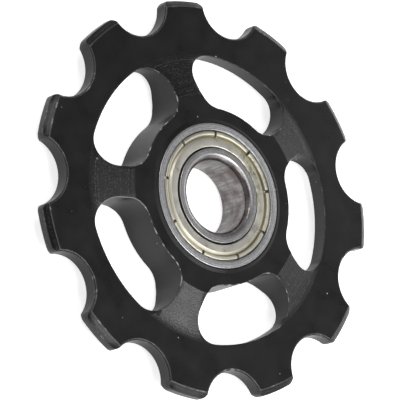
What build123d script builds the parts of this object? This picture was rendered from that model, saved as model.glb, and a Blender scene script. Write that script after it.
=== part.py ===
"""Guide pulley of a bicycle's rear derailleur: a toothed aluminium wheel on a shielded ball bearing.

Millimetres. The origin is the centre of the bearing's bore, half way through its width. +Z is the
axis that the wheel turns about, and +X runs through the middle of a gap between two teeth.
"""
from build123d import *
import math
import os

# The chain and the teeth
TEETH = 11
CHAIN_PITCH = 12.7
ROLLER_SEAT_DIAMETER = 7.5
TIP_DROP = 0.5  # tips lie this far inside the pitch circle
TOOTH_CORNER_RADIUS = 0.75
TIP_BEVEL = 0.7
TIP_BEVEL_DEPTH = 0.45

# The wheel's rim, spokes and hub
RIM_WIDTH = 1.8
RIM_WALL = 2.8  # between roller seats and windows
SPOKES = 5
SPOKE_ANGLE = 0.7  # the first spoke, from the middle of a tooth gap
SPOKE_WIDTH = 3.45
WINDOW_ROUNDNESS = 0.43  # corner radius over the window's radial width
HUB_WIDTH = 4.7
HUB_WALL = 1.8
HUB_FACE_MARGIN = 1.25  # flat face of the hub past the windows' inner wall
TAPER_BLEND_RADIUS = 2.0
COLLAR_LAND = 0.15
COLLAR_FLARE = 0.35
EDGE_BREAK = 0.15

# The bearing's rings
BEARING_BORE = 8.0
BEARING_OUTER_DIAMETER = 16.0
BEARING_WIDTH = 5.0
RING_WALL_SHARE = 0.3  # of the space between bore and outside
BORE_ROUNDING = 0.7
RING_EDGE = 0.06
GROOVE_CONFORMITY = 0.52  # groove radius over ball diameter

# The balls and their cage
BALLS = 9
BALL_DIAMETER = 2.381
BALL_CLEARANCE = 0.05
CAGE_CLEARANCE = 0.35
CAGE_BACK = 0.32
CAGE_PRONG = 0.55  # reach of the prongs past the balls' middle
POCKET_CLEARANCE = 0.06

# The shields, one pressed sheet on each side
SHIELD_SHEET = 0.22
SHIELD_SEAT_STEP = 0.5
SHIELD_SEAT_DEPTH = 0.62
SHIELD_SNAP = 0.15  # how far the ring's mouth reaches in over the shield
MOUTH_FLARE = 0.12
BAND_WIDTH = 0.48
BAND_RECESS = 0.06
BAND_ROUNDING = 0.14
CREASE_WIDTH = 0.44  # from the band to the flat of the dish
CREASE_SHARE = 0.3  # of that width, from the band to the crease's bottom
CREASE_DEPTH = 0.2
DISH_RECESS = 0.12
DISH_ROUNDING = 0.3
SHIELD_RUNNING_GAP = 0.175
SHIELD_EDGE = 0.11
NOTCHES = 9
NOTCH_WIDTH = 0.22
NOTCH_DEPTH = 0.35
NOTCH_ANGLE = -8.0

# Radii and heights that follow from those sizes
roller_seat_radius = ROLLER_SEAT_DIAMETER / 2
pitch_radius = CHAIN_PITCH / (2 * math.sin(math.pi / TEETH))
tip_radius = pitch_radius - TIP_DROP
rim_face = RIM_WIDTH / 2
rim_inner_radius = pitch_radius - roller_seat_radius - RIM_WALL
seat_radius = BEARING_OUTER_DIAMETER / 2
hub_face = HUB_WIDTH / 2
hub_radius = seat_radius + HUB_WALL
window_corner_radius = WINDOW_ROUNDNESS * (rim_inner_radius - hub_radius)
bearing_face = BEARING_WIDTH / 2
bore_radius = BEARING_BORE / 2
ring_wall = RING_WALL_SHARE * (seat_radius - bore_radius)
inner_land = bore_radius + ring_wall
outer_land = seat_radius - ring_wall
ball_radius = BALL_DIAMETER / 2
groove_radius = GROOVE_CONFORMITY * BALL_DIAMETER
ball_circle_radius = (bore_radius + seat_radius) / 2
pocket_radius = ball_radius + POCKET_CLEARANCE
shield_shoulder = bearing_face - SHIELD_SEAT_DEPTH
shield_seat_radius = outer_land + SHIELD_SEAT_STEP
mouth_radius = shield_seat_radius - SHIELD_SNAP

# The wheel, turned from bar: rim, tapered web, hub and the collar round the bearing
with BuildPart() as wheel:
    with BuildSketch(Plane.XZ) as wheel_section:
        with BuildLine():
            Polyline(
                (seat_radius, 0),
                (seat_radius, bearing_face),
                (seat_radius + COLLAR_LAND, bearing_face),
                (seat_radius + COLLAR_LAND + COLLAR_FLARE, hub_face),
                (hub_radius + HUB_FACE_MARGIN, hub_face),
                (rim_inner_radius, rim_face),
                (tip_radius - TIP_BEVEL, rim_face),
                (tip_radius, rim_face - TIP_BEVEL_DEPTH),
                (tip_radius, 0),
                close=True,
            )
        make_face()
        mirror(about=Plane.XZ)
        taper_feet = wheel_section.vertices().filter_by(lambda corner: abs(corner.X - rim_inner_radius) < 0.001)
        fillet(taper_feet, TAPER_BLEND_RADIUS)
    revolve(axis=Axis.Z)

    # The teeth: round seats for the chain's rollers, milled on the pitch circle
    with BuildSketch() as tooth_outline:
        Circle(tip_radius)
        with PolarLocations(pitch_radius, TEETH):
            Circle(roller_seat_radius, mode=Mode.SUBTRACT)
        fillet(tooth_outline.vertices(), TOOTH_CORNER_RADIUS)
    extrude(amount=bearing_face, both=True, mode=Mode.INTERSECT)
    for side in (Plane.XY, -Plane.XY):
        with BuildSketch(side.offset(rim_face)):
            with PolarLocations(pitch_radius, TEETH):
                Circle(roller_seat_radius + EDGE_BREAK)
        extrude(amount=-EDGE_BREAK, taper=45, mode=Mode.SUBTRACT)

    # The windows: a ring between hub and rim, less the spokes, with round corners
    with BuildSketch() as windows:
        Circle(rim_inner_radius)
        Circle(hub_radius, mode=Mode.SUBTRACT)
        with PolarLocations(0, SPOKES, start_angle=SPOKE_ANGLE):
            Rectangle(tip_radius, SPOKE_WIDTH, align=(Align.MIN, Align.CENTER), mode=Mode.SUBTRACT)
        fillet(windows.vertices(), window_corner_radius)
    extrude(amount=bearing_face, both=True, mode=Mode.SUBTRACT)

wheel.part.label = "wheel"

# The bearing's outer ring, with its ball groove and a seat for each shield
outer_groove_bottom = ball_circle_radius + ball_radius + BALL_CLEARANCE
with BuildPart() as outer_ring:
    with BuildSketch(Plane.XZ) as outer_section:
        with BuildLine():
            Polyline(
                (outer_land, 0),
                (outer_land, shield_shoulder),
                (shield_seat_radius, shield_shoulder),
                (shield_seat_radius, shield_shoulder + SHIELD_SHEET),
                (mouth_radius, shield_shoulder + SHIELD_SHEET + MOUTH_FLARE),
                (mouth_radius + MOUTH_FLARE, bearing_face),
                (seat_radius - RING_EDGE, bearing_face),
                (seat_radius, bearing_face - RING_EDGE),
                (seat_radius, 0),
                close=True,
            )
        make_face()
        mirror(about=Plane.XZ)
        with Locations((outer_groove_bottom - groove_radius, 0)):
            Circle(groove_radius, mode=Mode.SUBTRACT)
    revolve(axis=Axis.Z)

outer_ring.part.label = "outer_ring"

# The bearing's inner ring, rounded at both ends of its bore
inner_groove_bottom = ball_circle_radius - ball_radius - BALL_CLEARANCE
with BuildPart() as inner_ring:
    with BuildSketch(Plane.XZ) as inner_section:
        with BuildLine():
            Polyline(
                (bore_radius, 0),
                (bore_radius, bearing_face),
                (inner_land - RING_EDGE, bearing_face),
                (inner_land, bearing_face - RING_EDGE),
                (inner_land, 0),
                close=True,
            )
        make_face()
        mirror(about=Plane.XZ)
        bore_corners = inner_section.vertices().filter_by(lambda corner: corner.X < bore_radius + 0.001)
        fillet(bore_corners, BORE_ROUNDING)
        with Locations((inner_groove_bottom + groove_radius, 0)):
            Circle(groove_radius, mode=Mode.SUBTRACT)
    revolve(axis=Axis.Z)

inner_ring.part.label = "inner_ring"

# The cage: a crown whose prongs stand between the balls, open towards -Z
cage_top = pocket_radius + CAGE_BACK
with BuildPart() as ball_cage:
    with BuildSketch(Plane.XY.offset(-CAGE_PRONG)):
        Circle(outer_land - CAGE_CLEARANCE)
        Circle(inner_land + CAGE_CLEARANCE, mode=Mode.SUBTRACT)
    extrude(amount=CAGE_PRONG + cage_top)
    with PolarLocations(ball_circle_radius, BALLS):
        Sphere(pocket_radius, mode=Mode.SUBTRACT)

ball_cage.part.label = "ball_cage"

# The shield's section: a rounded band at the rim, a crease inside it, and a flat dish to the bore
shield_band = bearing_face - BAND_RECESS
shield_dish = bearing_face - DISH_RECESS
shield_bore_radius = inner_land + SHIELD_RUNNING_GAP
band_outer_radius = mouth_radius - MOUTH_FLARE / 2
band_inner_radius = mouth_radius - BAND_WIDTH
crease_radius = band_inner_radius - CREASE_SHARE * CREASE_WIDTH
dish_radius = band_inner_radius - CREASE_WIDTH


def shield(side):
    """Make one shield: side is 1 in front, -1 behind."""
    with BuildPart() as sheet:
        with BuildSketch(Plane.XZ) as sheet_section:
            with BuildLine():
                Polyline(
                    (shield_seat_radius, shield_shoulder),
                    (shield_seat_radius, shield_shoulder + SHIELD_SHEET),
                    (band_outer_radius, shield_shoulder + SHIELD_SHEET + MOUTH_FLARE),
                    (band_outer_radius, shield_band),
                    (band_inner_radius, shield_band),
                    (crease_radius, shield_dish - CREASE_DEPTH),
                    (dish_radius, shield_dish),
                    (shield_bore_radius, shield_dish),
                    (shield_bore_radius, shield_dish - SHIELD_SHEET),
                    (dish_radius - SHIELD_SHEET / 2, shield_dish - SHIELD_SHEET),
                    (crease_radius, shield_dish - CREASE_DEPTH - SHIELD_SHEET),
                    (band_inner_radius + SHIELD_SHEET / 2, shield_shoulder),
                    close=True,
                )
            make_face()
            corners = sheet_section.vertices()
            fillet(corners.filter_by(lambda corner: corner.Y > shield_band - 0.001), BAND_ROUNDING)
            dish_edge = corners.filter_by(lambda corner: abs(corner.Y - shield_dish) < 0.001)
            fillet(dish_edge.sort_by(Axis.X)[-1], DISH_ROUNDING)
            fillet(dish_edge.sort_by(Axis.X)[0], SHIELD_EDGE)
        revolve(axis=Axis.Z)
        with BuildSketch(Plane.XY.offset(shield_band)):
            with PolarLocations(0, NOTCHES, start_angle=NOTCH_ANGLE):
                with Locations((crease_radius, 0)):
                    Rectangle(tip_radius, NOTCH_WIDTH, align=(Align.MIN, Align.CENTER))
        extrude(amount=-NOTCH_DEPTH, mode=Mode.SUBTRACT)
        if side < 0:
            mirror(about=Plane.XY, mode=Mode.REPLACE)
    return sheet


front_shield = shield(1)
rear_shield = shield(-1)
front_shield.part.label = "front_shield"
rear_shield.part.label = "rear_shield"

os.makedirs("parts", exist_ok=True)
export_step(wheel.part, "parts/wheel.step")
export_step(outer_ring.part, "parts/outer_ring.step")
export_step(inner_ring.part, "parts/inner_ring.step")
export_step(ball_cage.part, "parts/ball_cage.step")
export_step(front_shield.part, "parts/front_shield.step")
export_step(rear_shield.part, "parts/rear_shield.step")

# The balls, evenly spaced in the groove
for number, place in enumerate(PolarLocations(ball_circle_radius, BALLS), 1):
    with BuildPart() as ball:
        with Locations(place):
            Sphere(ball_radius)
    ball.part.label = f"ball_{number}"
    export_step(ball.part, f"parts/ball_{number}.step")
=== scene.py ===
"""Looks of a rear derailleur's guide pulley: a black anodised wheel on a shielded ball bearing.

Metres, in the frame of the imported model: +Z is the axis that the wheel turns about, and +X points
at the middle of a gap between two teeth. The pulley lies flat on a white floor.
"""
import math

import bmesh
import bpy
from bpy.props import FloatProperty, FloatVectorProperty, IntProperty, PointerProperty
from mathutils import Matrix, Vector


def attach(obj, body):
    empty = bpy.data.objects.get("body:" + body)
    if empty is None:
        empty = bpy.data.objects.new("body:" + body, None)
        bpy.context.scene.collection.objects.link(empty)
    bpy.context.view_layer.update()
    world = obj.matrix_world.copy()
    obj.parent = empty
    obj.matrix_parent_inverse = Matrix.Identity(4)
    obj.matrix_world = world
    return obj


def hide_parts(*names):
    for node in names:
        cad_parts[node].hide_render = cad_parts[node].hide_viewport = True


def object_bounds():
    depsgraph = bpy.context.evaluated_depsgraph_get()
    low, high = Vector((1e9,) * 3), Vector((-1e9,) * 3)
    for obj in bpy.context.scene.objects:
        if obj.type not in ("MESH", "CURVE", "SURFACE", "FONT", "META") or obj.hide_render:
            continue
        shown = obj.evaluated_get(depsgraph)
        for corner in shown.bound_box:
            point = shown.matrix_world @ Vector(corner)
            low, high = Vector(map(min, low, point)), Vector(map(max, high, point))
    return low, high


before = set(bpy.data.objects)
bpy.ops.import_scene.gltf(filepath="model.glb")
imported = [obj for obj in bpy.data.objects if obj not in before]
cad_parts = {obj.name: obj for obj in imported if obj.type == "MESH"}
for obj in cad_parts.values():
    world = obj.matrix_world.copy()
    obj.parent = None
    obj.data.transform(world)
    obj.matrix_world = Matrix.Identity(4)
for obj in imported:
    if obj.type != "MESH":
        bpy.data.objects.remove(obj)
CAD_BOX = [list(corner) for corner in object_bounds()]

bl_info = {
    "name": "Guide pulley",
    "version": (1, 0, 0),
    "blender": (4, 5, 0),
    "location": "View3D > Sidebar > Pulley",
    "description": "Dresses the packed guide pulley and sets it on a white studio floor",
    "category": "Object",
}

MM = 0.001
BALL_NAMES = [name for name in sorted(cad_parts) if name.startswith("ball_") and name != "ball_cage"]

# how edges are told apart: sharp ones, faint ones beside a flat face, and creases of turned pieces
SHARP_ANGLE = math.radians(25)
FAINT_ANGLE = math.radians(8)
FLAT_NORMAL = 0.999
CREASE_ANGLE = math.radians(36)
# within which the CAD mesh's corners are one corner, in mm, and its faces are one plane
MERGE_DISTANCE = 0.002
SAME_PLANE_ANGLE = math.radians(0.5)

# how finely the turned sections' corners, the wheel's edges and a whole turn are divided
ROUNDING_SEGMENTS = 6
EDGE_SEGMENTS = 2
TURNED_STEPS = 180

# the wheel's surfaces, in mm from the axis
COLLAR_OUTSIDE = 9.0
GRAIN_START = 9.5
HUB_WORN = 11.0
HUB_WEAR_END = 12.5
RIM_WEAR_START = 14.0
HOLLOW_START = 14.5
TAPER_END = 15.71
RIM_START = 16.28
# how much of its slope the taper loses in the hollow
HOLLOW_SLOPE = 0.2
# relief of the oxide layer in mm, on the flat faces and on the tapers
FLAT_RELIEF = 0.0015
TAPER_RELIEF = 0.026
# share of the lathe's marks in the relief, beside the grain's 1
TURNING_SHARE = 0.5
# the window edge that is painted brighter as a highlight: its middle, and the distances in mm where the
# painted highlight begins and is full
HIGHLIT_EDGE_PLACE = (12.4, 2.3, 1.8)
HIGHLIT_EDGE_REACH = (3.4, 2.4)
# dust: how far a speck is stretched, its turn, the space between specks, its radius and the share shown
DUST = ((1.0, 1.0, 1.6, 0.09, 0.35), (8.0, 1.7168, 0.9, 0.07, 0.04))

# the rings' sections, in mm
RING_OUTSIDE = 8.0
OUTER_GROOVE = 7.924
OUTER_LAND = 6.8
INNER_LAND = 5.2
INNER_GROOVE = 4.0755
BORE_RADIUS = 4.0
GROOVE_EDGE = 0.947
GROOVE_ROUNDING = 1.46
# the outer ring's outside corner, in roundings of the rings' other edges
CORNER_STRETCH = 1.3
# the undercut that each shield is snapped into, and the flared mouth over it
SEAT_RADIUS = 7.3
SEAT_BOTTOM = 1.88
SEAT_TOP = 2.1
MOUTH_THROAT = (7.15, 2.22)
MOUTH_RADIUS = 7.27
BROKEN_EDGE = 0.03

# the shields' section, in mm: rolled band, crease and dish
BAND_OUTSIDE = 7.09
BAND_INSIDE = 6.67
BAND_FOOT = 2.22
BAND_HEIGHT = 2.44
CREASE_RADIUS = 6.538
CREASE_TOP = 2.18
CREASE_BACK = 1.96
DISH_START = 6.23
DISH_HEIGHT = 2.38
DISH_BACK_START = 6.12
DISH_BACK = 2.16
SHIELD_BORE = 5.375
SHIELD_BACK = 6.78
PRESSED_ROUNDING = 0.05
SHEARED_ROUNDING = 0.04
NOTCH_REACH = 1.2
# the side of the dish where smears are painted in as reflections: its middle, and the distances in mm where
# they begin and are full
REFLECTION_PATCH_PLACE = (-5.0, -3.0, 2.4)
REFLECTION_PATCH_REACH = (4.5, 2.5)

# the lamps: name, azimuth and elevation in degrees, distance and diameter in metres
LAMPS = (("key", (154, 62), 0.5, 0.17), ("high", (303, 51), 0.5, 0.13), ("front", (80, 57), 0.5, 0.16),
         ("side", (128, 36), 0.5, 0.24), ("top", (200, 86), 0.5, 0.28), ("low", (180, 30), 0.5, 0.24),
         ("near", (204, 29), 0.16, 0.05))
FLOOR_SEEN = 0.75
FLOOR_SIZE = 2.0
# the directions between which the room's light falls from the horizon's to the ceiling's, as heights
ROOM_HEIGHTS = (0.1, 0.65)

# sockets of a Mix node: its two numbers, its two colours, and the colour that comes out
NUMBER_A = 2
NUMBER_B = 3
COLOUR_A = 6
COLOUR_B = 7
MIXED = 2


def linear(hex_colour):
    """An sRGB hex colour as linear red, green, blue and alpha."""
    channels = [int(hex_colour[i:i + 2], 16) / 255 for i in (1, 3, 5)]
    return [c / 12.92 if c <= 0.04045 else ((c + 0.055) / 1.055) ** 2.4 for c in channels] + [1.0]


def add_node(tree, kind, settings=None, links=None):
    """Add a node. Settings name its sockets or its own options, and links name sockets."""
    node = tree.nodes.new(kind)
    for name, value in (settings or {}).items():
        if isinstance(name, str) and hasattr(node, name):
            setattr(node, name, value)
        else:
            node.inputs[name].default_value = value
    for name, source in (links or {}).items():
        tree.links.new(source, node.inputs[name])
    return node


def new_material(name):
    """An empty node material and its tree."""
    material = bpy.data.materials.new(name)
    material.use_nodes = True
    material.node_tree.nodes.clear()
    return material, material.node_tree


def dress(thing, material):
    """Give a piece or a CAD node one material."""
    thing.data.materials.clear()
    thing.data.materials.append(material)


def place_in_millimetres(tree):
    """The place on the object in millimetres, as sockets: its point, radius, angle and height."""
    place = add_node(tree, "ShaderNodeTexCoord")
    point = add_node(tree, "ShaderNodeVectorMath", {"operation": "SCALE", "Scale": 1 / MM},
                     {0: place.outputs["Object"]}).outputs["Vector"]
    parts = add_node(tree, "ShaderNodeSeparateXYZ", None, {0: point})
    flat = add_node(tree, "ShaderNodeCombineXYZ", None, {"X": parts.outputs["X"], "Y": parts.outputs["Y"]})
    radius = add_node(tree, "ShaderNodeVectorMath", {"operation": "LENGTH"}, {0: flat.outputs["Vector"]})
    angle = add_node(tree, "ShaderNodeMath", {"operation": "ARCTAN2"},
                     {0: parts.outputs["Y"], 1: parts.outputs["X"]})
    return {"point": point, "radius": radius.outputs["Value"], "angle": angle.outputs["Value"],
            "height": parts.outputs["Z"]}


def turned_piece(context, name, section):
    """A ring turned from a section of (radius, height, rounding) corners, in mm, in order round the metal.

    A corner's rounding is how far it reaches along the section's sides.
    """
    shape = bmesh.new()
    corners = [shape.verts.new((radius, 0, height)) for radius, height, rounding in section]
    for corner, following in zip(corners, corners[1:] + corners[:1]):
        shape.edges.new((corner, following))
    for corner, (radius, height, rounding) in zip(corners, section):
        if rounding > 0:
            bmesh.ops.bevel(shape, geom=[corner], offset=rounding, offset_type="OFFSET",
                            segments=ROUNDING_SEGMENTS, profile=0.5, affect="VERTICES", clamp_overlap=True,
                            material=-1)
    bmesh.ops.spin(shape, geom=shape.verts[:] + shape.edges[:], cent=(0, 0, 0), axis=(0, 0, 1),
                   angle=math.tau, steps=TURNED_STEPS, use_merge=True, use_duplicate=False)
    bmesh.ops.scale(shape, verts=shape.verts, vec=(MM, MM, MM))
    bmesh.ops.recalc_face_normals(shape, faces=shape.faces)
    return shade_turned(context, name, shape)


def shade_turned(context, name, shape):
    """Make the shape an object that is smooth but for its sharp edges."""
    for face in shape.faces:
        face.smooth = True
    for edge in shape.edges:
        edge.smooth = len(edge.link_faces) == 2 and edge.calc_face_angle() < CREASE_ANGLE
    mesh = bpy.data.meshes.new(name)
    shape.to_mesh(mesh)
    shape.free()
    piece = bpy.data.objects.new(name, mesh)
    context.scene.collection.objects.link(piece)
    smooth = piece.modifiers.new("Even shading", "WEIGHTED_NORMAL")
    smooth.keep_sharp = True
    return piece


def mirrored(half):
    """A section's upper half and its mirror image, in order round the metal."""
    return half + [(radius, -height, rounding) for radius, height, rounding in reversed(half)]


class PulleyFinish(bpy.types.PropertyGroup):
    """Colours of the pulley's metals and of the bearing's cage."""
    anodising: FloatVectorProperty(
        name="Anodising", description="Colour of the wheel's dyed oxide layer", subtype="COLOR",
        size=4, min=0, max=1, default=linear("#040405"))
    faded_dye: FloatVectorProperty(
        name="Faded dye", description="Colour of the oxide layer where its dye is thinner", subtype="COLOR",
        size=4, min=0, max=1, default=linear("#0b0b0c"))
    # painted glint: the lighter colour of the grains on the tapers
    painted_glint_grain: FloatVectorProperty(
        name="Bright grain", description="Colour of the grains that catch the light on the tapers",
        subtype="COLOR", size=4, min=0, max=1, default=linear("#5a5a5a"))
    # also the colour of the dust, and of the painted highlight on one window edge
    wear_dust_and_highlight: FloatVectorProperty(
        name="Worn edge", description="Colour where handling has thinned the oxide on an edge",
        subtype="COLOR", size=4, min=0, max=1, default=linear("#a9a9a8"))
    ring_steel: FloatVectorProperty(
        name="Ring steel", description="Colour of the bearing's ground rings", subtype="COLOR",
        size=4, min=0, max=1, default=linear("#cdcdcf"))
    dull_steel: FloatVectorProperty(
        name="Dull steel", description="Colour of the rings' steel in its grinding marks", subtype="COLOR",
        size=4, min=0, max=1, default=linear("#929294"))
    # also painted shade on the inner part of the bore's rounding
    bore_stain_and_shade: FloatVectorProperty(
        name="Bore stain", description="Colour of the dried oil in the bore", subtype="COLOR",
        size=4, min=0, max=1, default=linear("#6a6260"))
    shield_plate: FloatVectorProperty(
        name="Shield plate", description="Colour of the shields' pale yellow zinc plate",
        subtype="COLOR", size=4, min=0, max=1, default=linear("#cfcdc5"))
    # also the colour of the smears painted as reflections on one side of the dish
    thick_film_and_reflection: FloatVectorProperty(
        name="Yellow film", description="Colour of the shields where the passivation is thicker",
        subtype="COLOR", size=4, min=0, max=1, default=linear("#9a957a"))
    # painted shade: the darker brown in the shields' crease
    crease_shade: FloatVectorProperty(
        name="Crease film", description="Colour of the film in the shields' crease", subtype="COLOR",
        size=4, min=0, max=1, default=linear("#857b60"))
    ball_steel: FloatVectorProperty(
        name="Ball steel", description="Colour of the polished balls", subtype="COLOR",
        size=4, min=0, max=1, default=linear("#dadadc"))
    cage_nylon: FloatVectorProperty(
        name="Cage nylon", description="Colour of the moulded cage", subtype="COLOR",
        size=4, min=0, max=1, default=linear("#e4decd"))


class PulleyDetail(bpy.types.PropertyGroup):
    """Sizes of the fine detail on the surfaces."""
    edge_rounding: FloatProperty(
        name="Edge rounding", description="Rounding of the wheel's edges", unit="LENGTH",
        default=0.08 * MM, min=0.01 * MM, max=0.12 * MM, precision=6)
    turning_mark: FloatProperty(
        name="Turning mark", description="Space between the marks that the lathe left",
        unit="LENGTH", default=0.22 * MM, min=0.02 * MM, max=1 * MM, precision=6)
    grain: FloatProperty(
        name="Grain", description="Size of the oxide layer's grain", unit="LENGTH",
        default=0.16 * MM, min=0.02 * MM, max=1 * MM, precision=6)
    cloud: FloatProperty(
        name="Cloud", description="Size of the clouds in the oxide layer's dye", unit="LENGTH",
        default=2.6 * MM, min=0.5 * MM, max=10 * MM, precision=6)
    wear_dash: FloatProperty(
        name="Wear dash", description="Length of the bare dashes on a worn edge", unit="LENGTH",
        default=0.6 * MM, min=0.1 * MM, max=5 * MM, precision=6)


class PulleyBearing(bpy.types.PropertyGroup):
    """Sizes of the bearing's rings and shields."""
    face: FloatProperty(
        name="Face height", description="Height of the rings' flat faces over the middle plane",
        unit="LENGTH", default=2.5 * MM, min=1 * MM, precision=6)
    ring_edge: FloatProperty(
        name="Ring edge", description="Rounding of the rings' ground edges", unit="LENGTH",
        default=0.06 * MM, min=0.01 * MM, max=0.15 * MM, precision=6)
    bore_rounding: FloatProperty(
        name="Bore rounding", description="Rounding at both ends of the bore", unit="LENGTH",
        default=0.7 * MM, min=0.1 * MM, max=0.9 * MM, precision=6)
    band_rounding: FloatProperty(
        name="Band rounding", description="Rounding of the shields' rolled band", unit="LENGTH",
        default=0.13 * MM, min=0.02 * MM, max=0.2 * MM, precision=6)
    lip_rounding: FloatProperty(
        name="Lip rounding", description="Rounding of the shields' inner lip", unit="LENGTH",
        default=0.1 * MM, min=0.02 * MM, max=0.15 * MM, precision=6)
    notches: IntProperty(
        name="Notches", description="Notches in each shield's band", default=9, min=3, max=24)
    notch_width: FloatProperty(
        name="Notch width", description="Width of a notch", unit="LENGTH", default=0.31 * MM,
        min=0.05 * MM, max=1 * MM, precision=6)
    notch_depth: FloatProperty(
        name="Notch depth", description="Depth of a notch from the band's crown", unit="LENGTH",
        default=0.5 * MM, min=0.05 * MM, max=0.6 * MM, precision=6)
    notch_angle: FloatProperty(
        name="Notch angle", description="Direction of the first notch from +X", subtype="ANGLE",
        default=math.radians(-8.0))


class PulleyStage(bpy.types.PropertyGroup):
    """The camera and the lamps."""
    azimuth: FloatProperty(name="Azimuth", description="Camera's bearing from the pulley",
                           subtype="ANGLE", default=math.radians(22.833))
    elevation: FloatProperty(name="Elevation", description="Camera's height angle",
                             subtype="ANGLE", default=math.radians(50.251))
    roll: FloatProperty(name="Roll", description="Turn of the camera about its line of sight",
                        subtype="ANGLE", default=math.radians(-71.309))
    distance: FloatProperty(name="Distance", description="Camera to the point that it aims at",
                            unit="LENGTH", default=0.40219, min=0.05)
    lens: FloatProperty(name="Lens", description="Focal length in millimetres on a 36 mm sensor",
                        default=335.96, min=20)
    aim: FloatVectorProperty(name="Aim", description="The point that the camera looks at",
                             subtype="XYZ", unit="LENGTH", default=(0.614 * MM, 0.069 * MM, 0), precision=6)
    key_power: FloatProperty(name="Key lamp", description="Power of the lamp that lights the tapers",
                             default=0.82, min=0, unit="POWER")
    high_power: FloatProperty(name="High lamp", description="Power of the lamp at the pulley's left",
                              default=0.42, min=0, unit="POWER")
    front_power: FloatProperty(name="Front lamp", description="Power of the lamp beside the camera",
                               default=0.6, min=0, unit="POWER")
    side_power: FloatProperty(name="Side lamp", description="Power of the low lamp beside the camera",
                              default=0.4, min=0, unit="POWER")
    top_power: FloatProperty(name="Top lamp", description="Power of the lamp overhead",
                             default=0.36, min=0, unit="POWER")
    low_power: FloatProperty(name="Low lamp", description="Power of the low lamp behind the pulley",
                             default=0.15, min=0, unit="POWER")
    near_power: FloatProperty(name="Near lamp", description="Power of the small lamp close behind the pulley",
                              default=0.0155, min=0, unit="POWER")
    horizon: FloatProperty(name="Horizon", description="Strength of the room's light at the horizon",
                           default=0.75, min=0)
    ceiling: FloatProperty(name="Ceiling", description="Strength of the room's light from above",
                           default=0.21, min=0)
    floor_mirrored: FloatProperty(name="Floor in reflections",
                                  description="Strength of the white floor as the metal mirrors it",
                                  default=0.42, min=0, max=1)


def anodised_aluminium(finish, detail):
    """Black anodised aluminium, turned and milled.

    A dyed oxide layer over metal: nearly black, with a satin sheen. The lathe's marks show on the
    tapers, with the oxide's grain, whose lighter grains there are painted glints, and the taper runs
    out to the rim in a long hollow. Handling has let the metal show along some edges, one window edge
    is painted brighter as a highlight, and there are a few specks and hairs of dust.
    """
    material, tree = new_material("black_anodised_aluminium")
    place = place_in_millimetres(tree)
    point, radius = place["point"], place["radius"]
    on_taper = taper_mask(tree, radius)

    # the lathe's marks run round the axis, and the grain lies over them; both are finer on the real
    # wheel, and are drawn as coarse as they need to be to show
    turning = add_node(tree, "ShaderNodeTexNoise",
                       {"noise_dimensions": "1D", "Scale": MM / detail.turning_mark, "Detail": 3.0,
                        "Roughness": 0.6}, {"W": radius}).outputs["Fac"]
    grain = add_node(tree, "ShaderNodeTexNoise",
                     {"Scale": MM / detail.grain, "Detail": 2.0, "Roughness": 0.6},
                     {"Vector": point}).outputs["Fac"]
    cloud = add_node(tree, "ShaderNodeTexNoise",
                     {"Scale": MM / detail.cloud, "Detail": 4.0, "Roughness": 0.6},
                     {"Vector": point}).outputs["Fac"]
    marks = add_node(tree, "ShaderNodeMath", {"operation": "MULTIPLY_ADD", 1: TURNING_SHARE},
                     {0: turning, 2: grain}).outputs[0]
    level = add_node(tree, "ShaderNodeMath", {"operation": "SUBTRACT", 1: (1 + TURNING_SHARE) / 2},
                     {0: marks}).outputs[0]
    depth = add_node(tree, "ShaderNodeMapRange", {"To Min": FLAT_RELIEF, "To Max": TAPER_RELIEF},
                     {0: on_taper}).outputs[0]
    relief = add_node(tree, "ShaderNodeMath", {"operation": "MULTIPLY"}, {0: level, 1: depth}).outputs[0]
    relief = add_hollow(tree, radius, relief)
    bump = add_node(tree, "ShaderNodeBump", {"Strength": 1.0, "Distance": MM}, {"Height": relief})
    bare_dust_and_highlight = add_dust(tree, point, worn_and_highlit_edges(tree, point, radius, cloud, detail))

    # the dye, the grains on the tapers painted lighter as glints, and the bare places, dust and painted edge
    # highlight
    dye = add_node(tree, "ShaderNodeMix",
                   {"data_type": "RGBA", COLOUR_A: finish.anodising, COLOUR_B: finish.faded_dye},
                   {0: cloud}).outputs[MIXED]
    # painted glint: lighter colour on the tapers where the marks rise highest
    glint = add_node(tree, "ShaderNodeMapRange", {"From Min": 0.79, "From Max": 0.98, "To Max": 0.45},
                     {0: marks}).outputs[0]
    glint = add_node(tree, "ShaderNodeMath", {"operation": "MULTIPLY"}, {0: glint, 1: on_taper}).outputs[0]
    grainy = add_node(tree, "ShaderNodeMix", {"data_type": "RGBA", COLOUR_B: finish.painted_glint_grain},
                      {0: glint, COLOUR_A: dye}).outputs[MIXED]
    colour = add_node(tree, "ShaderNodeMix", {"data_type": "RGBA", COLOUR_B: finish.wear_dust_and_highlight},
                      {0: bare_dust_and_highlight, COLOUR_A: grainy}).outputs[MIXED]
    satin = add_node(tree, "ShaderNodeMapRange",
                     {"From Min": 0.3, "From Max": 0.7, "To Min": 0.26, "To Max": 0.34},
                     {0: cloud}).outputs[0]
    shader = add_node(tree, "ShaderNodeBsdfPrincipled", {"Metallic": 0.0, "Specular IOR Level": 0.37},
                      {"Base Color": colour, "Roughness": satin, "Normal": bump.outputs["Normal"]})
    add_node(tree, "ShaderNodeOutputMaterial", None, {"Surface": shader.outputs["BSDF"]})
    return material


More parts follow.
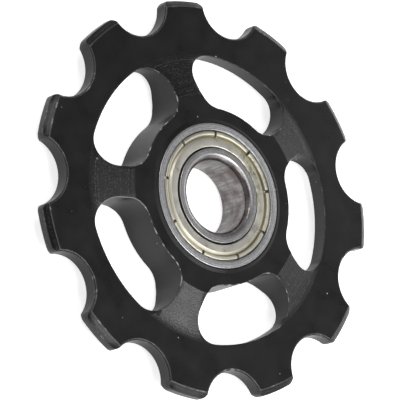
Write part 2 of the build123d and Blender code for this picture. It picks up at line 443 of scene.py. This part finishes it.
def taper_mask(tree, radius):
    """1 on the tapers and 0 on the flat faces, the walls and the collar, by how upright the surface is."""
    normal = add_node(tree, "ShaderNodeTexCoord").outputs["Normal"]
    upright = add_node(tree, "ShaderNodeSeparateXYZ", None, {0: normal}).outputs["Z"]
    upright = add_node(tree, "ShaderNodeMath", {"operation": "ABSOLUTE"}, {0: upright}).outputs[0]
    off_wall = add_node(tree, "ShaderNodeMapRange", {"From Min": 0.75, "From Max": 0.9},
                        {0: upright}).outputs[0]
    off_flat = add_node(tree, "ShaderNodeMapRange", {"From Min": 0.99, "From Max": 0.97},
                        {0: upright}).outputs[0]
    taper = add_node(tree, "ShaderNodeMath", {"operation": "MULTIPLY"}, {0: off_flat, 1: off_wall}).outputs[0]
    past_collar = add_node(tree, "ShaderNodeMath", {"operation": "GREATER_THAN", 1: GRAIN_START},
                           {0: radius}).outputs[0]
    return add_node(tree, "ShaderNodeMath", {"operation": "MULTIPLY"},
                    {0: taper, 1: past_collar}).outputs[0]


def add_hollow(tree, radius, relief):
    """Relief that also flattens the taper towards the rim, up to where the solid's own foot is flat."""
    steepening = HOLLOW_SLOPE / (TAPER_END - HOLLOW_START)
    easing = -steepening * (RIM_START - HOLLOW_START) / (RIM_START - TAPER_END)
    for start, change in ((HOLLOW_START, steepening), (TAPER_END, easing)):
        reach = add_node(tree, "ShaderNodeMapRange",
                         {"From Min": start, "From Max": RIM_START, "To Max": RIM_START - start},
                         {0: radius}).outputs[0]
        hollow = add_node(tree, "ShaderNodeMath", {"operation": "POWER", 1: 2.0}, {0: reach}).outputs[0]
        relief = add_node(tree, "ShaderNodeMath", {"operation": "MULTIPLY_ADD", 1: change / 2},
                          {0: hollow, 2: relief}).outputs[0]
    return relief


def worn_and_highlit_edges(tree, point, radius, cloud, detail):
    """How far the oxide is worn off: dashes on the edges, more by the hub, and a thin even wear, which near
    one window edge rises into a painted highlight.
    """
    edge = add_node(tree, "ShaderNodeAttribute", {"attribute_name": "rounded_edge"}).outputs["Fac"]
    dash = add_node(tree, "ShaderNodeTexNoise",
                    {"Scale": MM / detail.wear_dash, "Detail": 2.0, "Roughness": 0.5},
                    {"Vector": point}).outputs["Fac"]
    dash = add_node(tree, "ShaderNodeMapRange", {"From Min": 0.5, "From Max": 0.62}, {0: dash}).outputs[0]
    handled = add_node(tree, "ShaderNodeMapRange", {"From Min": 0.44, "From Max": 0.58},
                       {0: cloud}).outputs[0]
    near_hub = add_node(tree, "ShaderNodeMapRange", {"From Min": HUB_WEAR_END, "From Max": HUB_WORN},
                        {0: radius}).outputs[0]
    handled = add_node(tree, "ShaderNodeMath", {"operation": "MAXIMUM"},
                       {0: handled, 1: near_hub}).outputs[0]
    fading = add_node(tree, "ShaderNodeMapRange",
                      {"From Min": HUB_WEAR_END, "From Max": RIM_WEAR_START, "To Min": 1.0, "To Max": 0.45},
                      {0: radius}).outputs[0]
    wear = edge
    for share in (dash, handled, fading):
        wear = add_node(tree, "ShaderNodeMath", {"operation": "MULTIPLY"}, {0: wear, 1: share}).outputs[0]
    # painted highlight: the thin wear on the edges brightens near one window edge, where a lamp's highlight
    # falls
    apart = add_node(tree, "ShaderNodeVectorMath", {"operation": "DISTANCE", 1: HIGHLIT_EDGE_PLACE}, {0: point})
    thin_wear_and_highlight = add_node(tree, "ShaderNodeMapRange",
                       {"From Min": HIGHLIT_EDGE_REACH[0], "From Max": HIGHLIT_EDGE_REACH[1], "To Min": 0.08, "To Max": 0.55},
                       {0: apart.outputs["Value"]}).outputs[0]
    thin_wear_and_highlight = add_node(tree, "ShaderNodeMath", {"operation": "MULTIPLY"}, {0: thin_wear_and_highlight, 1: edge}).outputs[0]
    return add_node(tree, "ShaderNodeMath", {"operation": "MAXIMUM"}, {0: wear, 1: thin_wear_and_highlight}).outputs[0]


def add_dust(tree, point, bare_dust_and_highlight):
    """The bare places and the painted edge highlight, with dust on them: round specks, and hairs that are
    specks stretched eight times.
    """
    for stretch, turn, spacing, size, share in DUST:
        laid = add_node(tree, "ShaderNodeMapping",
                        {"Scale": (1 / spacing, 1 / spacing / stretch, 1 / spacing),
                         "Rotation": (0, 0, turn)},
                        {"Vector": point}).outputs[0]
        dust = add_node(tree, "ShaderNodeTexVoronoi", {"feature": "F1", "Scale": 1.0}, {"Vector": laid})
        speck = add_node(tree, "ShaderNodeMapRange",
                         {"From Min": size / spacing, "From Max": 0.6 * size / spacing},
                         {0: dust.outputs["Distance"]}).outputs[0]
        picked = add_node(tree, "ShaderNodeSeparateColor", None, {0: dust.outputs["Color"]}).outputs["Red"]
        picked = add_node(tree, "ShaderNodeMath", {"operation": "LESS_THAN", 1: share},
                          {0: picked}).outputs[0]
        speck = add_node(tree, "ShaderNodeMath", {"operation": "MULTIPLY"}, {0: speck, 1: picked}).outputs[0]
        bare_dust_and_highlight = add_node(tree, "ShaderNodeMath", {"operation": "MAXIMUM"}, {0: bare_dust_and_highlight, 1: speck}).outputs[0]
    return bare_dust_and_highlight


def ground_steel(finish):
    """Ground bearing steel.

    Neutral grey metal with fine rings of grinding marks on its faces and marks along the bore. The
    inner ring's face has a thin film of oil, which has dried in brown patches in the bore. On the
    inner part of the bore's rounding the same brown is painted shade, which dims its highlight.
    """
    material, tree = new_material("ground_bearing_steel")
    place = place_in_millimetres(tree)
    point, radius = place["point"], place["radius"]
    # in_bore reaches from the bore onto the inner part of its rounding, where the stain is painted shade
    in_bore = add_node(tree, "ShaderNodeMapRange", {"From Min": 4.56, "From Max": 4.4},
                       {0: radius}).outputs[0]

    # grinding marks, coarser than the real ones so that they show: rings 0.2 mm wide on the faces,
    # strokes 0.3 mm wide and 3 mm long in the bore, and a speckle of 0.2 mm over both
    rings = add_node(tree, "ShaderNodeTexNoise", {"noise_dimensions": "1D", "Scale": 5.0, "Detail": 2.0},
                     {"W": radius}).outputs["Fac"]
    spread = add_node(tree, "ShaderNodeMath", {"operation": "MULTIPLY", 1: BORE_RADIUS},
                      {0: place["angle"]}).outputs[0]
    sweep = add_node(tree, "ShaderNodeCombineXYZ", None, {"X": spread, "Y": place["height"]}).outputs[0]
    along = add_node(tree, "ShaderNodeMapping", {"Scale": (3.6, 0.35, 1.0)}, {"Vector": sweep}).outputs[0]
    strokes = add_node(tree, "ShaderNodeTexNoise", {"noise_dimensions": "2D", "Scale": 1.0, "Detail": 3.0},
                       {"Vector": along}).outputs["Fac"]
    speckle = add_node(tree, "ShaderNodeTexNoise", {"Scale": 5.0, "Detail": 2.0},
                       {"Vector": point}).outputs["Fac"]
    marks = add_node(tree, "ShaderNodeMix", {"data_type": "FLOAT"},
                     {0: in_bore, NUMBER_A: rings, NUMBER_B: strokes}).outputs[0]
    mixed = add_node(tree, "ShaderNodeMath", {"operation": "MULTIPLY_ADD", 1: 0.6},
                     {0: speckle, 2: marks}).outputs[0]
    bump = add_node(tree, "ShaderNodeBump", {"Strength": 0.25, "Distance": 0.01 * MM}, {"Height": mixed})
    tone = add_node(tree, "ShaderNodeMapRange", {"From Min": 0.6, "From Max": 1.0}, {0: mixed}).outputs[0]
    ground = add_node(tree, "ShaderNodeMix",
                      {"data_type": "RGBA", COLOUR_A: finish.dull_steel, COLOUR_B: finish.ring_steel},
                      {0: tone}).outputs[MIXED]

    # oil on the inner ring's face and, thicker, in the bore, in patches of 2 mm; the same brown reaches onto
    # the inner part of the bore's rounding as painted shade that dims its highlight
    patch = add_node(tree, "ShaderNodeTexNoise", {"Scale": 0.5, "Detail": 3.0, "Roughness": 0.6},
                     {"Vector": point}).outputs["Fac"]
    patch = add_node(tree, "ShaderNodeMapRange",
                     {"From Min": 0.38, "From Max": 0.62, "To Min": 0.5, "To Max": 1.0},
                     {0: patch}).outputs[0]
    oil_and_shade = add_node(tree, "ShaderNodeMapRange",
                     {"From Min": INNER_LAND + 0.1, "From Max": INNER_LAND, "To Max": 0.4},
                     {0: radius}).outputs[0]
    oil_and_shade = add_node(tree, "ShaderNodeMath", {"operation": "MAXIMUM"}, {0: oil_and_shade, 1: in_bore}).outputs[0]
    stain_and_shade = add_node(tree, "ShaderNodeMath", {"operation": "MULTIPLY"}, {0: patch, 1: oil_and_shade}).outputs[0]
    colour = add_node(tree, "ShaderNodeMix", {"data_type": "RGBA", COLOUR_B: finish.bore_stain_and_shade},
                      {0: stain_and_shade, COLOUR_A: ground}).outputs[MIXED]
    shader = add_node(tree, "ShaderNodeBsdfPrincipled", {"Metallic": 1.0, "Roughness": 0.3},
                      {"Base Color": colour, "Normal": bump.outputs["Normal"]})
    add_node(tree, "ShaderNodeOutputMaterial", None, {"Surface": shader.outputs["BSDF"]})
    return material


def zinc_plate(finish):
    """Zinc-plated sheet with a pale yellow passivation.

    Bright metal with clouds of 0.9 mm and a finer mottle of 0.25 mm. The film is yellower towards the
    crease, the crease is painted a darker brown as shade, the dish has smears that on one side are
    painted reflections, and the bent metal of the crease is a little rougher.
    """
    material, tree = new_material("yellow_passivated_zinc")
    place = place_in_millimetres(tree)
    point, radius = place["point"], place["radius"]
    cloud = add_node(tree, "ShaderNodeTexNoise", {"Scale": 1.1, "Detail": 4.0},
                     {"Vector": point}).outputs["Fac"]
    fine = add_node(tree, "ShaderNodeTexNoise", {"Scale": 4.0, "Detail": 3.0},
                    {"Vector": point}).outputs["Fac"]

    # smears of half a millimetre, faint over the dish and strongest on one side, where they are painted
    # reflections, and the film that thickens outwards
    smear_and_reflection = add_node(tree, "ShaderNodeTexNoise", {"Scale": 1.9, "Detail": 3.0, "Distortion": 0.6},
                     {"Vector": point}).outputs["Fac"]
    smear_and_reflection = add_node(tree, "ShaderNodeMapRange", {"From Min": 0.4, "From Max": 0.66}, {0: smear_and_reflection}).outputs[0]
    apart = add_node(tree, "ShaderNodeVectorMath", {"operation": "DISTANCE", 1: REFLECTION_PATCH_PLACE}, {0: point})
    reflection_side = add_node(tree, "ShaderNodeMapRange",
                       {"From Min": REFLECTION_PATCH_REACH[0], "From Max": REFLECTION_PATCH_REACH[1], "To Min": 0.25},
                       {0: apart.outputs["Value"]}).outputs[0]
    smear_and_reflection = add_node(tree, "ShaderNodeMath", {"operation": "MULTIPLY"}, {0: smear_and_reflection, 1: reflection_side}).outputs[0]
    outwards = add_node(tree, "ShaderNodeMapRange", {"From Min": 5.6, "From Max": 6.25, "To Max": 0.4},
                        {0: radius}).outputs[0]
    smear_and_reflection = add_node(tree, "ShaderNodeMath", {"operation": "MAXIMUM"}, {0: smear_and_reflection, 1: outwards}).outputs[0]
    tint = add_node(tree, "ShaderNodeMix",
                    {"data_type": "RGBA", COLOUR_A: finish.shield_plate, COLOUR_B: finish.thick_film_and_reflection},
                    {0: smear_and_reflection}).outputs[MIXED]

    # the crease: a darker brown at its bottom, which is painted shade, and rougher metal on both its sides
    from_crease = add_node(tree, "ShaderNodeMath", {"operation": "SUBTRACT", 1: CREASE_RADIUS},
                           {0: radius}).outputs[0]
    from_crease = add_node(tree, "ShaderNodeMath", {"operation": "ABSOLUTE"}, {0: from_crease}).outputs[0]
    film = add_node(tree, "ShaderNodeMapRange", {"From Min": 0.15, "From Max": 0.05, "To Max": 0.9},
                    {0: from_crease}).outputs[0]
    colour = add_node(tree, "ShaderNodeMix", {"data_type": "RGBA", COLOUR_B: finish.crease_shade},
                      {0: film, COLOUR_A: tint}).outputs[MIXED]
    pressed = add_node(tree, "ShaderNodeMapRange", {"From Min": 0.36, "From Max": 0.28, "To Max": 0.12},
                       {0: from_crease}).outputs[0]
    rough = add_node(tree, "ShaderNodeMapRange",
                     {"From Min": 0.3, "From Max": 0.7, "To Min": 0.27, "To Max": 0.38},
                     {0: cloud}).outputs[0]
    rough = add_node(tree, "ShaderNodeMath", {"operation": "ADD"}, {0: rough, 1: pressed}).outputs[0]
    waves = add_node(tree, "ShaderNodeMath", {"operation": "MULTIPLY_ADD", 1: 3.0},
                     {0: cloud, 2: fine}).outputs[0]
    bump = add_node(tree, "ShaderNodeBump", {"Strength": 0.035, "Distance": 0.01 * MM}, {"Height": waves})
    shader = add_node(tree, "ShaderNodeBsdfPrincipled", {"Metallic": 1.0},
                      {"Base Color": colour, "Roughness": rough, "Normal": bump.outputs["Normal"]})
    add_node(tree, "ShaderNodeOutputMaterial", None, {"Surface": shader.outputs["BSDF"]})
    return material


def polished_steel(finish):
    """Lapped ball steel: mirror-bright, with a faint film of grease in patches of 0.7 mm."""
    material, tree = new_material("polished_ball_steel")
    point = place_in_millimetres(tree)["point"]
    film = add_node(tree, "ShaderNodeTexNoise", {"Scale": 1.5, "Detail": 2.0}, {"Vector": point})
    rough = add_node(tree, "ShaderNodeMapRange", {"To Min": 0.06, "To Max": 0.16},
                     {0: film.outputs["Fac"]}).outputs[0]
    shader = add_node(tree, "ShaderNodeBsdfPrincipled", {"Metallic": 1.0, "Base Color": finish.ball_steel},
                      {"Roughness": rough})
    add_node(tree, "ShaderNodeOutputMaterial", None, {"Surface": shader.outputs["BSDF"]})
    return material


def moulded_nylon(finish):
    """Moulded nylon: off-white and matt, with a faint mould grain of 0.2 mm."""
    material, tree = new_material("moulded_cage_nylon")
    point = place_in_millimetres(tree)["point"]
    grain = add_node(tree, "ShaderNodeTexNoise", {"Scale": 5.0, "Detail": 2.0}, {"Vector": point})
    bump = add_node(tree, "ShaderNodeBump", {"Strength": 0.2, "Distance": 0.02 * MM},
                    {"Height": grain.outputs["Fac"]})
    shader = add_node(tree, "ShaderNodeBsdfPrincipled", {"Base Color": finish.cage_nylon, "Roughness": 0.5},
                      {"Normal": bump.outputs["Normal"]})
    add_node(tree, "ShaderNodeOutputMaterial", None, {"Surface": shader.outputs["BSDF"]})
    return material


class PULLEY_OT_wheel(bpy.types.Operator):
    """Round the wheel's edges and anodise it"""
    bl_idname = "pulley.wheel"
    bl_label = "Toothed wheel"

    def execute(self, context):
        detail = context.scene.pulley_detail
        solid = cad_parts["wheel"]
        shape = bmesh.new()
        shape.from_mesh(solid.data)
        bmesh.ops.remove_doubles(shape, verts=shape.verts, dist=MERGE_DISTANCE * MM)
        bmesh.ops.dissolve_limit(shape, angle_limit=SAME_PLANE_ANGLE, verts=shape.verts, edges=shape.edges)
        rounded = shape.faces.layers.float.new("rounded_edge")
        inner = [edge for edge in shape.edges if len(edge.link_faces) == 2]
        outer_edges = [edge for edge in inner if edge.calc_face_angle() > SHARP_ANGLE
                       and edge.verts[0].co.xy.length > COLLAR_OUTSIDE * MM]
        to_round = set(outer_edges)
        for edge in inner:
            flat = any(abs(face.normal.z) > FLAT_NORMAL for face in edge.link_faces)
            if edge not in to_round and edge.calc_face_angle() > (FAINT_ANGLE if flat else SHARP_ANGLE):
                edge.smooth = False
        made = bmesh.ops.bevel(shape, geom=outer_edges, offset=detail.edge_rounding, offset_type="OFFSET",
                               segments=EDGE_SEGMENTS, profile=0.5, affect="EDGES", clamp_overlap=False,
                               material=-1)
        for face in made["faces"]:
            face[rounded] = 1.0
        for face in shape.faces:
            face.smooth = True
        mesh = bpy.data.meshes.new("anodised_wheel")
        shape.to_mesh(mesh)
        shape.free()
        wheel = bpy.data.objects.new("anodised_wheel", mesh)
        context.scene.collection.objects.link(wheel)
        smooth = wheel.modifiers.new("Even shading", "WEIGHTED_NORMAL")
        smooth.keep_sharp = True
        dress(wheel, anodised_aluminium(context.scene.pulley_finish, detail))
        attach(wheel, "wheel")
        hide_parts("wheel")
        return {"FINISHED"}


class PULLEY_OT_bearing_rings(bpy.types.Operator):
    """Turn and grind the bearing's two rings"""
    bl_idname = "pulley.bearing_rings"
    bl_label = "Bearing rings"

    def execute(self, context):
        bearing = context.scene.pulley_bearing
        face, edge = bearing.face / MM, bearing.ring_edge / MM
        steel = ground_steel(context.scene.pulley_finish)
        outer_half = [(OUTER_LAND, GROOVE_EDGE, 0), (OUTER_LAND, SEAT_BOTTOM, BROKEN_EDGE),
                      (SEAT_RADIUS, SEAT_BOTTOM, 0), (SEAT_RADIUS, SEAT_TOP, 0), (*MOUTH_THROAT, BROKEN_EDGE),
                      (MOUTH_RADIUS, face, BROKEN_EDGE), (RING_OUTSIDE, face, CORNER_STRETCH * edge)]
        outer = turned_piece(context, "ground_outer_ring",
                             mirrored(outer_half) + [(OUTER_GROOVE, 0, GROOVE_ROUNDING)])
        inner_half = [(INNER_LAND, GROOVE_EDGE, 0), (INNER_LAND, face, edge),
                      (BORE_RADIUS, face, bearing.bore_rounding / MM)]
        inner = turned_piece(context, "ground_inner_ring",
                             mirrored(inner_half) + [(INNER_GROOVE, 0, GROOVE_ROUNDING)])
        for ring, body, node in ((outer, "wheel", "outer_ring"), (inner, "inner_ring", "inner_ring")):
            dress(ring, steel)
            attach(ring, body)
            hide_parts(node)
        return {"FINISHED"}


class PULLEY_OT_shields(bpy.types.Operator):
    """Press the bearing's two shields, notch their bands and plate them"""
    bl_idname = "pulley.shields"
    bl_label = "Shields"

    def execute(self, context):
        bearing = context.scene.pulley_bearing
        plate = zinc_plate(context.scene.pulley_finish)
        band, lip = bearing.band_rounding / MM, bearing.lip_rounding / MM
        section = [(SEAT_RADIUS, SEAT_BOTTOM, 0), (SEAT_RADIUS, SEAT_TOP, SHEARED_ROUNDING),
                   (BAND_OUTSIDE, BAND_FOOT, BROKEN_EDGE), (BAND_OUTSIDE, BAND_HEIGHT, band),
                   (BAND_INSIDE, BAND_HEIGHT, band), (CREASE_RADIUS, CREASE_TOP, PRESSED_ROUNDING),
                   (DISH_START, DISH_HEIGHT, PRESSED_ROUNDING), (SHIELD_BORE, DISH_HEIGHT, lip),
                   (SHIELD_BORE, DISH_BACK, SHEARED_ROUNDING), (DISH_BACK_START, DISH_BACK, PRESSED_ROUNDING),
                   (CREASE_RADIUS, CREASE_BACK, PRESSED_ROUNDING), (SHIELD_BACK, SEAT_BOTTOM, BROKEN_EDGE)]
        for name, side in (("front_shield", 1), ("rear_shield", -1)):
            turned = turned_piece(context, "plated_" + name, [(r, side * z, c) for r, z, c in section])
            shield = self.cut_notches(context, turned, bearing, side)
            dress(shield, plate)
            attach(shield, "wheel")
            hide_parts(name)
        return {"FINISHED"}

    def cut_notches(self, context, shield, bearing, side):
        """Cut the notches through the band with a Boolean, and keep its result as the shield's mesh."""
        tool = bmesh.new()
        for number in range(bearing.notches):
            made = bmesh.ops.create_cube(tool, size=1.0)
            bmesh.ops.scale(tool, verts=made["verts"],
                            vec=(NOTCH_REACH * MM, bearing.notch_width, 2 * bearing.notch_depth))
            bmesh.ops.translate(tool, verts=made["verts"],
                                vec=((CREASE_RADIUS + NOTCH_REACH / 2) * MM, 0, side * BAND_HEIGHT * MM))
            turn = Matrix.Rotation(bearing.notch_angle + number * math.tau / bearing.notches, 4, "Z")
            bmesh.ops.transform(tool, verts=made["verts"], matrix=turn)
        mesh = bpy.data.meshes.new("notch_tool")
        tool.to_mesh(mesh)
        tool.free()
        cutter = bpy.data.objects.new("notch_tool", mesh)
        context.scene.collection.objects.link(cutter)
        cut = shield.modifiers.new("Notches", "BOOLEAN")
        cut.operation = "DIFFERENCE"
        cut.solver = "EXACT"
        cut.object = cutter
        shield.modifiers.move(1, 0)
        shield.modifiers[1].show_viewport = False
        context.view_layer.update()
        notched = bpy.data.meshes.new_from_object(shield.evaluated_get(context.evaluated_depsgraph_get()))
        shield.modifiers.remove(cut)
        shield.modifiers[0].show_viewport = True
        shield.data = notched
        bpy.data.objects.remove(cutter)
        return shield


class PULLEY_OT_balls_and_cage(bpy.types.Operator):
    """Finish the balls and the cage that spaces them"""
    bl_idname = "pulley.balls_and_cage"
    bl_label = "Balls and cage"

    def execute(self, context):
        finish = context.scene.pulley_finish
        steel = polished_steel(finish)
        for name in BALL_NAMES:
            dress(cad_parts[name], steel)
        dress(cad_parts["ball_cage"], moulded_nylon(finish))
        return {"FINISHED"}


def add_lamp(name, direction, distance, size, power):
    """An area lamp that looks at the pulley from a direction given as azimuth and elevation."""
    azimuth, elevation = (math.radians(angle) for angle in direction)
    towards = Vector((math.cos(elevation) * math.cos(azimuth), math.cos(elevation) * math.sin(azimuth),
                      math.sin(elevation)))
    light = bpy.data.lights.new(name, "AREA")
    light.shape = "DISK"
    light.size = size
    light.energy = power
    lamp = bpy.data.objects.new(name, light)
    lamp.location = towards * distance
    lamp.rotation_euler = towards.to_track_quat("Z", "Y").to_euler()
    bpy.context.scene.collection.objects.link(lamp)
    return lamp


class PULLEY_OT_stage(bpy.types.Operator):
    """Lay the white floor, set the lamps and place the camera"""
    bl_idname = "pulley.stage"
    bl_label = "Floor, lamps and camera"

    def execute(self, context):
        stage = context.scene.pulley_stage
        self.lay_floor(stage)
        self.light(context, stage)
        self.place_camera(context, stage)
        return {"FINISHED"}

    def lay_floor(self, stage):
        shape = bmesh.new()
        bmesh.ops.create_grid(shape, x_segments=1, y_segments=1, size=FLOOR_SIZE)
        bmesh.ops.translate(shape, verts=shape.verts, vec=(0, 0, CAD_BOX[0][2]))
        mesh = bpy.data.meshes.new("floor")
        shape.to_mesh(mesh)
        shape.free()
        floor = bpy.data.objects.new("floor", mesh)
        bpy.context.scene.collection.objects.link(floor)
        material, tree = new_material("white_floor")
        rays = add_node(tree, "ShaderNodeLightPath")
        seen = add_node(tree, "ShaderNodeMath", {"operation": "MULTIPLY", 1: FLOOR_SEEN},
                        {0: rays.outputs["Is Camera Ray"]}).outputs[0]
        glow = add_node(tree, "ShaderNodeMath", {"operation": "MULTIPLY_ADD", 1: stage.floor_mirrored},
                        {0: rays.outputs["Is Glossy Ray"], 2: seen}).outputs[0]
        matt = add_node(tree, "ShaderNodeBsdfDiffuse", {"Color": linear("#f2f2f2")})
        lift = add_node(tree, "ShaderNodeEmission", {"Color": (1, 1, 1, 1)}, {"Strength": glow})
        both = add_node(tree, "ShaderNodeAddShader", None, {0: matt.outputs[0], 1: lift.outputs[0]})
        add_node(tree, "ShaderNodeOutputMaterial", None, {"Surface": both.outputs[0]})
        dress(floor, material)

    def light(self, context, stage):
        for name, direction, distance, size in LAMPS:
            add_lamp(name + "_lamp", direction, distance, size, getattr(stage, name + "_power"))
        world = bpy.data.worlds.new("studio")
        world.use_nodes = True
        tree = world.node_tree
        tree.nodes.clear()
        rays = add_node(tree, "ShaderNodeLightPath")
        upwards = add_node(tree, "ShaderNodeTexCoord").outputs["Generated"]
        upwards = add_node(tree, "ShaderNodeSeparateXYZ", None, {0: upwards}).outputs["Z"]
        room = add_node(tree, "ShaderNodeMapRange",
                        {"From Min": ROOM_HEIGHTS[0], "From Max": ROOM_HEIGHTS[1], "To Min": stage.horizon,
                         "To Max": stage.ceiling}, {0: upwards}).outputs[0]
        strength = add_node(tree, "ShaderNodeMix", {"data_type": "FLOAT", NUMBER_B: 1.0},
                            {0: rays.outputs["Is Camera Ray"], NUMBER_A: room}).outputs[0]
        sky = add_node(tree, "ShaderNodeBackground", {"Color": (1, 1, 1, 1)}, {"Strength": strength})
        add_node(tree, "ShaderNodeOutputWorld", None, {"Surface": sky.outputs[0]})
        context.scene.world = world

    def place_camera(self, context, stage):
        back = Vector((math.cos(stage.elevation) * math.cos(stage.azimuth),
                       math.cos(stage.elevation) * math.sin(stage.azimuth), math.sin(stage.elevation)))
        right = Vector((0, 0, 1)).cross(back).normalized()
        level_up = back.cross(right)
        up = math.cos(stage.roll) * level_up + math.sin(stage.roll) * right
        data = bpy.data.cameras.new("camera")
        data.lens = stage.lens
        data.sensor_width = 36.0
        data.clip_start = 0.01
        camera = bpy.data.objects.new("camera", data)
        axes = Matrix((up.cross(back), up, back)).transposed()
        camera.matrix_world = Matrix.Translation(Vector(stage.aim) + back * stage.distance) @ axes.to_4x4()
        context.scene.collection.objects.link(camera)
        context.scene.camera = camera
        context.scene.view_settings.view_transform = "Standard"


OPERATORS = (PULLEY_OT_wheel, PULLEY_OT_bearing_rings, PULLEY_OT_shields, PULLEY_OT_balls_and_cage,
             PULLEY_OT_stage)


class PULLEY_PT_panel(bpy.types.Panel):
    """The pulley's settings and operators"""
    bl_idname = "PULLEY_PT_panel"
    bl_label = "Guide pulley"
    bl_space_type = "VIEW_3D"
    bl_region_type = "UI"
    bl_category = "Pulley"

    def draw(self, context):
        for settings in (context.scene.pulley_finish, context.scene.pulley_detail,
                         context.scene.pulley_bearing, context.scene.pulley_stage):
            box = self.layout.box()
            for name in settings.__annotations__:
                box.prop(settings, name)
        for operator in OPERATORS:
            self.layout.operator(operator.bl_idname)


CLASSES = (PulleyFinish, PulleyDetail, PulleyBearing, PulleyStage) + OPERATORS + (PULLEY_PT_panel,)


def register():
    for cls in CLASSES:
        bpy.utils.register_class(cls)
    bpy.types.Scene.pulley_finish = PointerProperty(type=PulleyFinish)
    bpy.types.Scene.pulley_detail = PointerProperty(type=PulleyDetail)
    bpy.types.Scene.pulley_bearing = PointerProperty(type=PulleyBearing)
    bpy.types.Scene.pulley_stage = PointerProperty(type=PulleyStage)


def unregister():
    del bpy.types.Scene.pulley_stage
    del bpy.types.Scene.pulley_bearing
    del bpy.types.Scene.pulley_detail
    del bpy.types.Scene.pulley_finish
    for cls in reversed(CLASSES):
        bpy.utils.unregister_class(cls)


def main():
    register()
    bpy.ops.pulley.wheel()
    bpy.ops.pulley.bearing_rings()
    bpy.ops.pulley.shields()
    bpy.ops.pulley.balls_and_cage()
    bpy.ops.pulley.stage()


if __name__ == "__main__":
    main()
